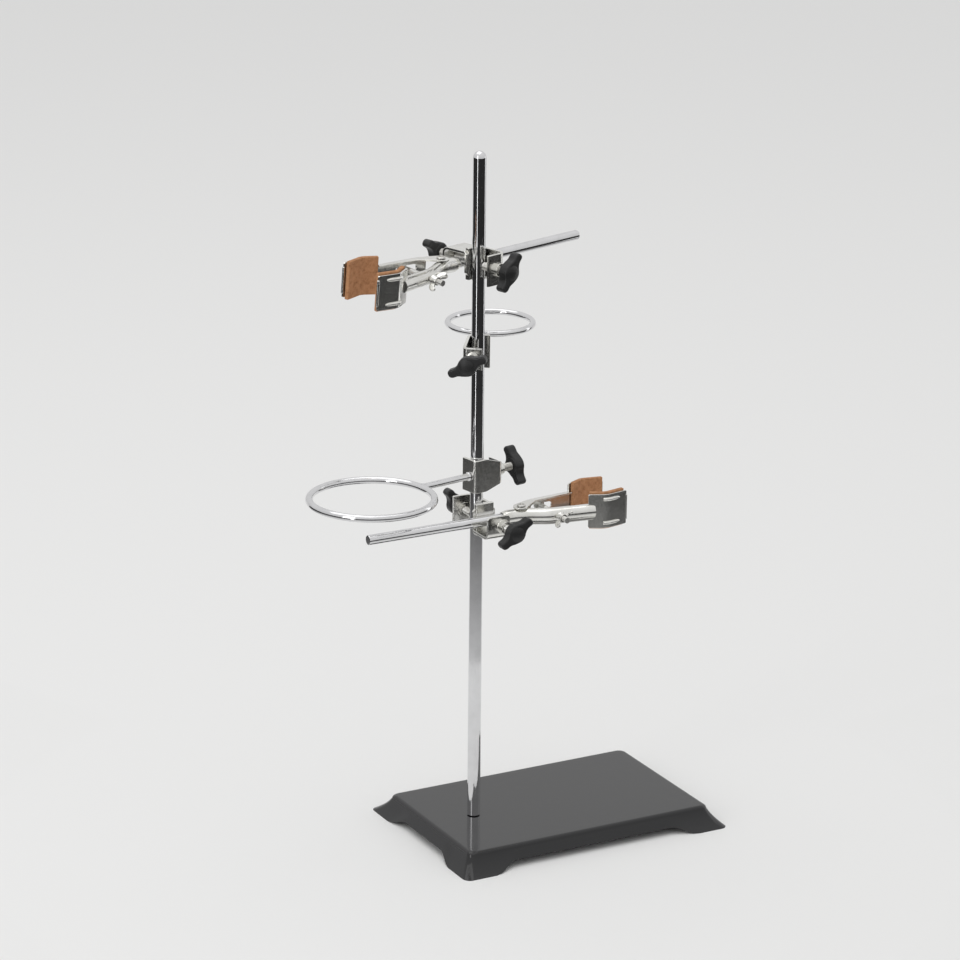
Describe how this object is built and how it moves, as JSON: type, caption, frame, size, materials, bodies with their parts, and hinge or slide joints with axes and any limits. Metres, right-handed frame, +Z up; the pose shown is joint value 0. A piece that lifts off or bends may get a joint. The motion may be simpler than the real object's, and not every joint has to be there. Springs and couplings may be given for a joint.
{
  "type": "retort stand",
  "caption": "Laboratory retort stand: stamped base, upright rod, boss heads with two-prong clamps, and support rings with thumb screws.",
  "frame": {"origin": "middle of the whole assembly's bounding box, on the floor that the feet stand on", "axes": "+Z up along the rod, +X along the base's long side away from the rod, +Y along its short side"},
  "size_m": [0.2954, 0.145, 0.4855],
  "materials": {
    "black_enamel": "glossy black stove enamel",
    "chrome": "bright chrome plate",
    "nickel_plate": "bright nickel plate on pressed steel",
    "zinc_plate": "zinc-plated steel",
    "black_plastic": "semi-matte moulded plastic",
    "cork": "natural cork sheet"
  },
  "bodies": {
    "stand": {"base_plate": "black_enamel", "stand_rod": "chrome", "rod_nut": "zinc_plate", "rod_washer": "zinc_plate"},
    "small_ring": {"small_ring": "chrome", "small_ring_bracket": "nickel_plate"},
    "small_ring_screw": {"small_ring_screw": "zinc_plate"},
    "small_ring_knob": {"small_ring_knob": "black_plastic"},
    "big_ring": {"big_ring": "chrome", "big_ring_bracket": "nickel_plate"},
    "big_ring_screw": {"big_ring_screw": "zinc_plate"},
    "big_ring_knob": {"big_ring_knob": "black_plastic"},
    "upper_boss": {"upper_boss_body": "nickel_plate"},
    "upper_boss_rod_screw": {"upper_boss_rod_screw": "zinc_plate"},
    "upper_boss_rod_knob": {"upper_boss_rod_knob": "black_plastic"},
    "upper_boss_arm_screw": {"upper_boss_arm_screw": "zinc_plate"},
    "upper_boss_arm_knob": {"upper_boss_arm_knob": "black_plastic"},
    "upper_clamp": {"upper_clamp_rod": "chrome", "upper_clamp_fixed_arm": "nickel_plate", "upper_clamp_fixed_cork": "cork", "upper_clamp_pivot_rivet": "zinc_plate"},
    "upper_clamp_jaw": {"upper_clamp_moving_arm": "nickel_plate", "upper_clamp_moving_cork": "cork"},
    "upper_clamp_bolt": {"upper_clamp_bolt": "zinc_plate"},
    "upper_clamp_wing_nut": {"upper_clamp_wing_nut": "nickel_plate"},
    "lower_boss": {"lower_boss_body": "nickel_plate"},
    "lower_boss_rod_screw": {"lower_boss_rod_screw": "zinc_plate"},
    "lower_boss_rod_knob": {"lower_boss_rod_knob": "black_plastic"},
    "lower_boss_arm_screw": {"lower_boss_arm_screw": "zinc_plate"},
    "lower_boss_arm_knob": {"lower_boss_arm_knob": "black_plastic"},
    "lower_clamp": {"lower_clamp_rod": "chrome", "lower_clamp_fixed_arm": "nickel_plate", "lower_clamp_fixed_cork": "cork", "lower_clamp_pivot_rivet": "zinc_plate"},
    "lower_clamp_jaw": {"lower_clamp_moving_arm": "nickel_plate", "lower_clamp_moving_cork": "cork"},
    "lower_clamp_bolt": {"lower_clamp_bolt": "zinc_plate"},
    "lower_clamp_wing_nut": {"lower_clamp_wing_nut": "nickel_plate"}
  },
  "joints": [
    {"name": "small_ring_height", "type": "slide", "parent": "stand", "child": "small_ring", "axis": [0, 0, 1], "range_m": [-0.03, 0.01]},
    {"name": "small_ring_screw_travel", "type": "slide", "parent": "small_ring", "child": "small_ring_screw", "axis": [-0.6428, -0.766, 0], "range_m": [0, 0.006]},
    {"name": "small_ring_knob_turn", "type": "hinge", "parent": "small_ring_screw", "child": "small_ring_knob", "pos_m": [-0.03747, -0.02528, 0.3473], "axis": [-0.6428, -0.766, 0], "range_deg": [0, 2161]},
    {"name": "big_ring_height", "type": "slide", "parent": "stand", "child": "big_ring", "axis": [0, 0, 1], "range_m": [-0.003, 0.025]},
    {"name": "big_ring_screw_travel", "type": "slide", "parent": "big_ring", "child": "big_ring_screw", "axis": [0.9829, 0.184, 0], "range_m": [0, 0.006]},
    {"name": "big_ring_knob_turn", "type": "hinge", "parent": "big_ring_screw", "child": "big_ring_knob", "pos_m": [0.01618, 0.00607, 0.2625], "axis": [0.9829, 0.184, 0], "range_deg": [0, 2161]},
    {"name": "upper_boss_height", "type": "slide", "parent": "stand", "child": "upper_boss", "axis": [0, 0, 1], "range_m": [-0.01, 0.055]},
    {"name": "upper_boss_rod_screw_travel", "type": "slide", "parent": "upper_boss", "child": "upper_boss_rod_screw", "axis": [0.2924, -0.9563, 0], "range_m": [0, 0.006]},
    {"name": "upper_boss_rod_knob_turn", "type": "hinge", "parent": "upper_boss_rod_screw", "child": "upper_boss_rod_knob", "pos_m": [-0.00807, -0.02678, 0.4082], "axis": [0.2924, -0.9563, 0], "range_deg": [0, 2161]},
    {"name": "upper_boss_arm_screw_travel", "type": "slide", "parent": "upper_boss", "child": "upper_boss_arm_screw", "axis": [-0.2924, 0.9563, 0], "range_m": [0, 0.006]},
    {"name": "upper_boss_arm_knob_turn", "type": "hinge", "parent": "upper_boss_arm_screw", "child": "upper_boss_arm_knob", "pos_m": [-0.02386, 0.04369, 0.4082], "axis": [-0.2924, 0.9563, 0], "range_deg": [0, 2161]},
    {"name": "upper_clamp_reach", "type": "slide", "parent": "upper_boss", "child": "upper_clamp", "axis": [-0.9563, -0.2924, 0], "range_m": [-0.002, 0.06]},
    {"name": "upper_clamp_nut_turn", "type": "hinge", "parent": "upper_clamp", "child": "upper_clamp_wing_nut", "pos_m": [-0.05881, -0.01817, 0.40672], "axis": [0.2913, -0.9527, -0.0872], "range_deg": [-1779, 1779]},
    {"name": "upper_clamp_jaw_open", "type": "hinge", "parent": "upper_clamp", "child": "upper_clamp_jaw", "pos_m": [-0.04272, 0.00446, 0.4082], "axis": [-0.0255, 0.0833, -0.9962], "range_deg": [-9.2, 9.2]},
    {"name": "upper_clamp_bolt_travel", "type": "slide", "parent": "upper_clamp", "child": "upper_clamp_bolt", "axis": [-0.2913, 0.9527, 0.0872], "range_m": [-0.00346, 0.00346]},
    {"name": "lower_boss_height", "type": "slide", "parent": "stand", "child": "lower_boss", "axis": [0, 0, 1], "range_m": [-0.17, 0.003]},
    {"name": "lower_boss_rod_screw_travel", "type": "slide", "parent": "lower_boss", "child": "lower_boss_rod_screw", "axis": [-0.0122, 0.9999, 0], "range_m": [0, 0.006]},
    {"name": "lower_boss_rod_knob_turn", "type": "hinge", "parent": "lower_boss_rod_screw", "child": "lower_boss_rod_knob", "pos_m": [-0.0166, 0.028, 0.2325], "axis": [-0.0122, 0.9999, 0], "range_deg": [0, 2161]},
    {"name": "lower_boss_arm_screw_travel", "type": "slide", "parent": "lower_boss", "child": "lower_boss_arm_screw", "axis": [0.0122, -0.9999, 0], "range_m": [0, 0.006]},
    {"name": "lower_boss_arm_knob_turn", "type": "hinge", "parent": "lower_boss_arm_screw", "child": "lower_boss_arm_knob", "pos_m": [-0.01022, -0.04393, 0.2325], "axis": [0.0122, -0.9999, 0], "range_deg": [0, 2161]},
    {"name": "lower_clamp_reach", "type": "slide", "parent": "lower_boss", "child": "lower_clamp", "axis": [0.9999, 0.0122, 0], "range_m": [-0.002, 0.06]},
    {"name": "lower_clamp_nut_turn", "type": "hinge", "parent": "lower_clamp", "child": "lower_clamp_wing_nut", "pos_m": [0.03409, -0.02839, 0.2325], "axis": [0.0122, -0.9999, 0], "range_deg": [-1779, 1779]},
    {"name": "lower_clamp_jaw_open", "type": "hinge", "parent": "lower_clamp", "child": "lower_clamp_jaw", "pos_m": [0.01188, -0.01166, 0.2325], "axis": [0, 0, 1], "range_deg": [-9.2, 9.2]},
    {"name": "lower_clamp_bolt_travel", "type": "slide", "parent": "lower_clamp", "child": "lower_clamp_bolt", "axis": [-0.0122, 0.9999, 0], "range_m": [-0.00346, 0.00346]}
  ],
  "couplings": [
    {"joint": "small_ring_knob_turn", "follows": "small_ring_screw_travel", "rad_per_m": 6283.2},
    {"joint": "big_ring_knob_turn", "follows": "big_ring_screw_travel", "rad_per_m": 6283.2},
    {"joint": "upper_boss_rod_knob_turn", "follows": "upper_boss_rod_screw_travel", "rad_per_m": 6283.2},
    {"joint": "upper_boss_arm_knob_turn", "follows": "upper_boss_arm_screw_travel", "rad_per_m": 6283.2},
    {"joint": "upper_clamp_jaw_open", "follows": "upper_clamp_bolt_travel", "rad_per_m": 45.455},
    {"joint": "upper_clamp_nut_turn", "follows": "upper_clamp_bolt_travel", "rad_per_m": 8976},
    {"joint": "lower_boss_rod_knob_turn", "follows": "lower_boss_rod_screw_travel", "rad_per_m": 6283.2},
    {"joint": "lower_boss_arm_knob_turn", "follows": "lower_boss_arm_screw_travel", "rad_per_m": 6283.2},
    {"joint": "lower_clamp_jaw_open", "follows": "lower_clamp_bolt_travel", "rad_per_m": 45.455},
    {"joint": "lower_clamp_nut_turn", "follows": "lower_clamp_bolt_travel", "rad_per_m": 8976}
  ]
}
